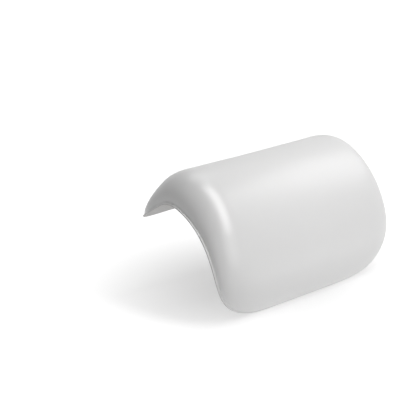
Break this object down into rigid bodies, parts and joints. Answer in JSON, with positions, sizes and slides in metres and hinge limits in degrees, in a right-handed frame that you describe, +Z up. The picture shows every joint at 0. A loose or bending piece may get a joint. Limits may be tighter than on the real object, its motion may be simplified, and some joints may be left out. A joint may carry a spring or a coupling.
{
  "type": "bath pillow",
  "caption": "Saddle-shaped moulded bath pillow with a thick crowned crest, rolled edges and a thin flange; it hangs over a bath rim and grips the wall with swivelling suction cups.",
  "frame": {"origin": "middle of the underside at the highest point of the arch, where the pillow sits on the bath rim", "axes": "+X along the pillow, -Y towards the bather and the long leg, +Z up"},
  "size_m": [0.3, 0.1493, 0.1593],
  "materials": {
    "skin": "satin",
    "backing": "satin",
    "foam": "matte",
    "socket": "satin",
    "cup": "gloss"
  },
  "bodies": {
    "pillow": {"outer_skin": "skin", "foam_core": "foam", "underside_skin": "backing", "cup_socket_1": "socket", "cup_socket_2": "socket", "cup_socket_3": "socket", "cup_socket_4": "socket"},
    "cup_1": {"suction_cup_1": "cup"},
    "cup_2": {"suction_cup_2": "cup"},
    "cup_3": {"suction_cup_3": "cup"},
    "cup_4": {"suction_cup_4": "cup"}
  },
  "joints": [
    {"name": "cup_1_swivel", "type": "hinge", "parent": "pillow", "child": "cup_1", "pos_m": [-0.093, -0.07053, -0.09842], "axis": [0, 1, 0], "continuous": true},
    {"name": "cup_2_swivel", "type": "hinge", "parent": "pillow", "child": "cup_2", "pos_m": [-0.031, -0.07053, -0.09842], "axis": [0, 1, 0], "continuous": true},
    {"name": "cup_3_swivel", "type": "hinge", "parent": "pillow", "child": "cup_3", "pos_m": [0.031, -0.07053, -0.09842], "axis": [0, 1, 0], "continuous": true},
    {"name": "cup_4_swivel", "type": "hinge", "parent": "pillow", "child": "cup_4", "pos_m": [0.093, -0.07053, -0.09842], "axis": [0, 1, 0], "continuous": true}
  ]
}
